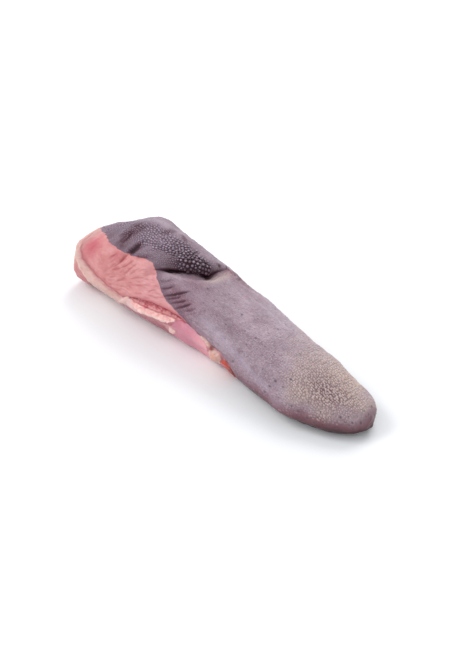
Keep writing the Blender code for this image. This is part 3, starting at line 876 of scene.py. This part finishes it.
# Papillae of the hump
# Horny buttons that stand close together, half a millimetre to 3.5 mm across, largest next to the fold
# and drawn out like grains of rice farther back. Each is a dome with a dark foot and a pale top, partly
# worn and partly a painted highlight.

# Papillae lie along the tongue, turned a little to the near side.
GRAIN = (0.95, -0.3, 0)


def scattered(points, triangles, allowed, spacing, tries, seed):
    """Seeded random places on the surface that keep clear of each other, the widest first."""
    draw = np.random.default_rng(seed)
    chosen = triangles[(allowed[triangles] > 0).all(1)]
    corners = points[chosen]
    area = np.linalg.norm(np.cross(corners[:, 1] - corners[:, 0], corners[:, 2] - corners[:, 0]), axis=1)
    picks = draw.choice(len(chosen), tries, p=area / area.sum())
    a, b = draw.random(tries), draw.random(tries)
    a, b = np.where(a + b > 1, 1 - a, a), np.where(a + b > 1, 1 - b, b)
    places = (corners[picks] * np.stack([1 - a - b, a, b], 1)[..., None]).sum(1)
    room = spacing[chosen[picks, 0]] * draw.uniform(0.45, 1.1, tries)
    order = np.argsort(-room)
    places, room, corner = places[order], room[order], chosen[picks[order], 0]
    cell_size = room.max()
    cells, kept = {}, []
    for index, (x, y, z) in enumerate(places.tolist()):
        i, j, k = int(x // cell_size), int(y // cell_size), int(z // cell_size)
        size = room[index]
        crowded = any(
            (x - u) ** 2 + (y - v) ** 2 + (z - w) ** 2 <= (0.5 * (size + other)) ** 2
            for di, dj, dk in np.ndindex(3, 3, 3)
            for u, v, w, other in cells.get((i + di - 1, j + dj - 1, k + dk - 1), ())
        )
        if not crowded:
            cells.setdefault((i, j, k), []).append((x, y, z, size))
            kept.append(index)
    return places[kept], room[kept], corner[kept]


def stamped(places, normals, radii, heights, profile, sides, lean, stretch):
    """Copies of a round profile, from rim to top, on each place. Returns points, triangles, each point's
    share of the height, and the number of points a copy."""
    side = GRAIN - normals * (normals @ np.array(GRAIN))[:, None]
    side /= np.linalg.norm(side, axis=1, keepdims=True)
    other = np.cross(normals, side)
    all_points, shares = [], []
    for out, up in profile:
        for k in range(sides if out > 0 else 1):
            angle = 2 * math.pi * k / sides
            point = places + normals * (heights * up)[:, None]
            point += side * (math.cos(angle) * out * radii * stretch)[:, None]
            point += other * (math.sin(angle) * out * radii)[:, None]
            point += np.array(lean) * (heights * max(up, 0) ** 1.5)[:, None]
            all_points.append(point)
            shares.append(np.full(len(places), max(up, 0)))
    pattern = []
    rings = len(profile) - 1
    for ring in range(rings):
        for k in range(sides):
            low, after = ring * sides, (k + 1) % sides
            if ring < rings - 1:
                pattern.append((low + k, low + after, low + sides + after))
                pattern.append((low + k, low + sides + after, low + sides + k))
            else:
                pattern.append((low + k, low + after, low + sides))
    per_copy = len(all_points)
    points = np.stack(all_points, 1).reshape(-1, 3)
    triangles = (np.array(pattern)[None] + per_copy * np.arange(len(places))[:, None, None]).reshape(-1, 3)
    return points, triangles, np.stack(shares, 1).reshape(-1), per_copy


def repeated_readings(corner, per_copy):
    """The hide's readings at each copy's place, once for each of its points."""
    return {name: np.repeat(values[corner], per_copy) for name, values in readings.items()}


skin_surface_normals = normals_of(skin_form, triangles)
# Millimetres between papillae, widest next to the fold and on the beaded band.
bead_spacing = np.interp(form[:, 0], [5, 40, 60, 80, 100, 118, 132], [1.7, 1.8, 2.1, 2.6, 3.0, 3.1, 2.7])
bead_spacing *= 1 + 0.25 * smooth(form[:, 1], -4, 8) * (1 - smooth(form[:, 0], 66, 90))
bead_spacing *= 1 + 0.12 * waves(form, 16, 40)
bead_spacing = np.clip(1.5 + (0.92 * bead_spacing - 1.5) * smooth(beaded, -3, 4), 1.4, 3.8)
on_hump = (hump + 1.0 * waves(form, 8, 41) > 1.0) & (dark < 0.6) & (pigment > 1.2) & (skin_depth > 2)
bead_places, bead_room, bead_corner = scattered(skin_form, triangles, on_hump, bead_spacing, 60000, 5)
draw = np.random.default_rng(8)
bead_radii = bead_room * draw.uniform(0.45, 0.53, len(bead_room))
drawn_out = 1 - smooth(bead_places[:, 0], 76, 92)
large = smooth(beaded[bead_corner], -4, 3)
bead_radii *= 1 - 0.2 * drawn_out
bead_heights = bead_radii * draw.uniform(0.8, 1.15, len(bead_radii))
bead_heights *= 0.6 + 0.4 * large
bead_heights *= 1 - 0.3 * drawn_out
# Profile of a papilla from its foot to its top: share of the radius out, and of the height up.
BEAD_PROFILE = [(1.1, -0.35), (1.0, 0.25), (0.84, 0.64), (0.5, 0.92), (0.0, 1.0)]
bead_points, bead_triangles, bead_share, per_bead = stamped(
    bead_places, skin_surface_normals[bead_corner], bead_radii, bead_heights,
    BEAD_PROFILE, 8, (-0.35, 0, 0), 1 + 0.65 * drawn_out,
)
bead_readings = repeated_readings(bead_corner, per_bead)
bead_worn = draw.uniform(0.35, 0.9, len(bead_places)) * (0.45 + 0.55 * large)
# The cap's pale share: partly wear, partly a painted highlight on the top, held back by the brown stain and
# the painted brow shade.
cap_wear_and_highlight = np.repeat(bead_worn, per_bead) * smooth(bead_share, 0.42, 0.98)
cap_wear_and_highlight *= (1 - 0.65 * bead_readings["brown"]) * (1 - 0.6 * bead_readings["brow"])


def papilla_material():
    """Horn on the caps, pale from wear and from a painted highlight, and a little glossy, over the colour of
    the hide at the foot.
    """
    material, tree, shader = new_material("papilla_horn")
    colour, _, place = hide_colour(tree)
    share = add(tree, "Attribute", {}, "Fac", attribute_name="cap_wear_and_highlight")
    colour = add(tree, "Mix", {"Factor": share, "A": colour, "B": "#a896a8"}, data_type="RGBA")
    tree.links.new(colour, shader.inputs["Base Color"])
    noise = add(tree, "TexNoise", {"Vector": place, "Scale": 1000 / 0.8, "Detail": 2.0})
    bump = add(tree, "Bump", {"Height": noise, "Strength": 0.3, "Distance": 0.0002})
    tree.links.new(bump, shader.inputs["Normal"])
    shader.inputs["Roughness"].default_value = 0.42
    shader.inputs["Specular IOR Level"].default_value = 0.22
    shader.inputs["Subsurface Weight"].default_value = 0.1
    shader.inputs["Subsurface Scale"].default_value = 0.001
    return material


to_piece("hump_papillae", bead_points, bead_triangles, {"cap_wear_and_highlight": cap_wear_and_highlight, **bead_readings}, papilla_material())

# Bristles
# The thread-like papillae that make a tongue rough: thousands of soft scales in rows that lean towards
# the root, finest next to the fold, and longest and tipped with yellow horn on the worn patch.

BRISTLES_FROM, BRISTLES_TO = 99, 318
# An axis through the tongue, across and up, that the rows are laid round.
BLADE_AXIS = (3, 18)
bristle_tree = BVHTree.FromPolygons(skin_form.tolist(), triangles.tolist())


def around(along, degrees):
    """Where a ray from outside meets the hide, its normal and the triangle met."""
    turn = np.radians(degrees)
    outward = Vector((0, math.cos(turn), math.sin(turn)))
    return bristle_tree.ray_cast(Vector((along, *BLADE_AXIS)) + outward * 80, -outward)[:3]


def in_rows(start, end, spacing_at, jitter, seed):
    """Places in rows across the back of the tongue, each row set off from the last."""
    draw = np.random.default_rng(seed)
    degrees = np.arange(-6, 187, 3)
    found, along, row = [], start, 0
    while along < end:
        space = spacing_at(along)
        met = [around(along, angle)[0] for angle in degrees]
        angles = [angle for angle, place in zip(degrees, met) if place is not None]
        spots = np.array([place for place in met if place is not None])
        lengths = np.concatenate([[0], np.cumsum(np.linalg.norm(np.diff(spots, axis=0), axis=1))])
        for length in np.arange(0.62 * row % 1 * space, lengths[-1], space):
            angle = np.interp(length + draw.normal(0, jitter) * space, lengths, angles)
            place, normal, index = around(along + draw.normal(0, jitter) * space, angle)
            if place is not None:
                found.append((*place, *normal, triangles[index][0], space))
        along += 1.1 * space
        row += 1
    found = np.array(found)
    return found[:, :3], found[:, 3:6], found[:, 6].astype(int), found[:, 7]


def bristle_spacing(along):
    """Millimetres between bristles, at a place along the tongue."""
    return np.interp(along, [99, 140, 190, 240, 300, 318], [1.2, 1.3, 1.55, 1.85, 1.95, 1.5])


places, normals, corner, space = in_rows(BRISTLES_FROM, BRISTLES_TO, bristle_spacing, 0.2, 17)
draw = np.random.default_rng(19)
# None grows on the hump, in the fold, on the pink or close to the skin's edge.
before_fold = to_path(places, rounded(FOLD))[2][:, 0] > places[:, 0] - 1.0
fade = smooth(normals[:, 2], 0.0, 0.5) * (1 - smooth(places[:, 0], 310, 319))
keep = (draw.random(len(places)) < fade) & (pigment[corner] > 2) & (skin_depth[corner] > 3) & ~before_fold
keep &= dark[corner] < 0.3
places, normals, corner, space, fade = (item[keep] for item in (places, normals, corner, space, fade))
patch = readings["worn"][corner]
radii = space * draw.uniform(0.38, 0.5, len(places)) * (1 + 0.25 * patch)
heights = space * (0.16 + 0.3 * patch) * draw.uniform(0.7, 1.2, len(places)) * (0.4 + 0.6 * fade)
bristle_points, bristle_triangles, bristle_share, per_bristle = stamped(
    places, normals, radii, heights,
    [(1.0, -0.2), (0.8, 0.6), (0.0, 1.0)], 5, (-0.6, 0.2, 0), 1.3 + 0.3 * patch,
)
tone = np.clip(draw.random(len(places)) + 0.35 * waves(places, 7, 45), 0, 1)
tone, patch = np.repeat(tone, per_bristle), np.repeat(patch, per_bristle)
bristle_readings = repeated_readings(corner, per_bristle)
bristle_shares = {
    # Paler tips are a painted highlight; the dark foot, darkest in the worn patch's gaps, is painted shade.
    "tip_highlight": 0.2 * tone * smooth(bristle_share, 0.2, 0.9),
    "dry": patch * (0.4 + 0.4 * tone) * smooth(bristle_share, 0.1, 0.8),
    "foot_shade": (0.12 + 0.7 * bristle_readings["gap_shade"]) * (1 - smooth(bristle_share, 0.0, 0.5)),
}


def bristle_material():
    """Soft horn over the hide's own colour: painted shade at the foot, paler at the tip as a painted
    highlight, yellower where worn.
    """
    material, tree, shader = new_material("bristle_horn")
    colour, _, _ = hide_colour(tree)
    for name, code in (("tip_highlight", "#d8c8d0"), ("dry", "#c9b4aa"), ("foot_shade", "#5a3945")):
        share = add(tree, "Attribute", {}, "Fac", attribute_name=name)
        colour = add(tree, "Mix", {"Factor": share, "A": colour, "B": code}, data_type="RGBA")
    tree.links.new(colour, shader.inputs["Base Color"])
    shader.inputs["Roughness"].default_value = 0.52
    shader.inputs["Specular IOR Level"].default_value = 0.35
    shader.inputs["Subsurface Weight"].default_value = 0.1
    shader.inputs["Subsurface Scale"].default_value = 0.001
    return material


to_piece(
    "bristles", bristle_points, bristle_triangles, {**bristle_shares, **bristle_readings}, bristle_material(),
)

# Dark papillae
# Smooth flat buttons 1 to 2 mm across on a broad foot, among the bristles: violet-grey, about a centimetre
# apart on the blade and closer round the tip and along the sides. They fade into the hide round them.

ON_BLADE = (form[:, 0] > 142) & (form_normals[:, 2] > -0.1) & (skin_depth > 5)
dot_spacing = np.interp(form[:, 0], [140, 230, 290, 320], [10, 9.5, 8, 6])
dot_spacing *= np.where(form_normals[:, 2] < 0.75, np.interp(form[:, 0], [235, 260], [1.5, 0.75]), 1)
places, room, corner = scattered(skin_form, triangles, ON_BLADE, dot_spacing, 900, 23)
draw = np.random.default_rng(29)
radii = draw.uniform(0.55, 1.0, len(places))
dot_points, dot_triangles, dot_share, per_dot = stamped(
    places, form_normals[corner], radii, 0.38 * radii,
    [(1.7, -0.3), (1.3, 0.55), (0.9, 0.85), (0.5, 1.0), (0.0, 1.05)], 12, (-0.8, 0, 0),
    1 + 0.5 * smooth(places[:, 0], 225, 260),
)
dot_depth = np.repeat(draw.uniform(0.35, 0.8, len(places)), per_dot) * smooth(dot_share, 0.45, 0.95)


def dot_material():
    """Thin wet skin over a knot of small veins, so a darker violet than the bristles round it."""
    material, tree, shader = new_material("dark_papilla_skin")
    colour, _, _ = hide_colour(tree)
    share = add(tree, "Attribute", {}, "Fac", attribute_name="veins")
    colour = add(tree, "Mix", {"Factor": share, "A": colour, "B": "#473441"}, data_type="RGBA")
    tree.links.new(colour, shader.inputs["Base Color"])
    shader.inputs["Roughness"].default_value = 0.4
    shader.inputs["Subsurface Weight"].default_value = 0.15
    shader.inputs["Subsurface Scale"].default_value = 0.001
    return material


to_piece(
    "dark_papillae", dot_points, dot_triangles, {"veins": dot_depth, **repeated_readings(corner, per_dot)},
    dot_material(),
)

# Floor
# A plain pale surface under the tongue.

FLOOR_SIZE = 8
FLOOR_GAP = 0.0003
bpy.ops.mesh.primitive_plane_add(size=FLOOR_SIZE, location=(0, 0, -FLOOR_GAP))
floor = bpy.context.object
floor.name = "floor"
paper, tree, shader = new_material("pale_surface")
shader.inputs["Base Color"].default_value = (0.9, 0.9, 0.9, 1)
shader.inputs["Roughness"].default_value = 0.9
floor.data.materials.append(paper)

# Light and camera
# Soft daylight from above and the root's side, and a camera where the photograph was taken from.

world = bpy.data.worlds.new("studio")
world.use_nodes = True
world.node_tree.nodes["Background"].inputs["Color"].default_value = (0.94, 0.97, 1.0, 1)
world.node_tree.nodes["Background"].inputs["Strength"].default_value = 0.72
bpy.context.scene.world = world


def softbox(name, towards, distance, size, power, colour):
    """A round soft lamp in a direction from the tongue, facing it."""
    lamp = bpy.data.lights.new(name, "AREA")
    lamp.shape = "DISK"
    lamp.size = size
    lamp.energy = power
    lamp.color = colour
    box = bpy.data.objects.new(name, lamp)
    direction = Vector(towards).normalized()
    box.location = direction * distance
    box.rotation_euler = direction.to_track_quat("Z", "Y").to_euler()
    bpy.context.scene.collection.objects.link(box)


softbox("key", (-0.57, -0.42, 0.72), 2.6, 1.3, 25.0, (0.97, 0.98, 1.0))
softbox("window", (-0.42, -0.76, 0.5), 2.2, 0.7, 6.0, (0.9, 0.93, 1.0))
softbox("back", (-0.25, 0.7, 0.67), 2.4, 1.8, 31.0, (0.97, 0.98, 1.0))

# The camera's angles in degrees and its distance in metres. The focal length, the picture's height and the
# offset of its middle from the place looked at are in pixels of the photograph.
AZIMUTH, ELEVATION = 45.34, 38.63
DISTANCE = 0.9
LOOKED_AT = (0.0018, -0.0025, 0.03)
FOCAL_PIXELS = 1053.2
PICTURE_HEIGHT = 650
OFFSET_RIGHT, OFFSET_DOWN = 1.42, 8.96
SENSOR = 36

camera_data = bpy.data.cameras.new("camera")
camera = bpy.data.objects.new("camera", camera_data)
bpy.context.scene.collection.objects.link(camera)
azimuth, elevation = math.radians(AZIMUTH), math.radians(ELEVATION)
toward = Vector((
    math.sin(azimuth) * math.cos(elevation), -math.cos(azimuth) * math.cos(elevation), math.sin(elevation),
))
ahead = -toward
right = ahead.cross(Vector((0, 0, 1))).normalized()
above = right.cross(ahead)
camera.location = Vector(LOOKED_AT) + toward * DISTANCE
aim = ahead + right * (OFFSET_RIGHT / FOCAL_PIXELS) - above * (OFFSET_DOWN / FOCAL_PIXELS)
camera.rotation_euler = (-aim).to_track_quat("Z", "Y").to_euler()
camera_data.sensor_width = SENSOR
camera_data.lens = SENSOR * (FOCAL_PIXELS / PICTURE_HEIGHT)
bpy.context.scene.camera = camera
bpy.context.scene.view_settings.view_transform = "Standard"
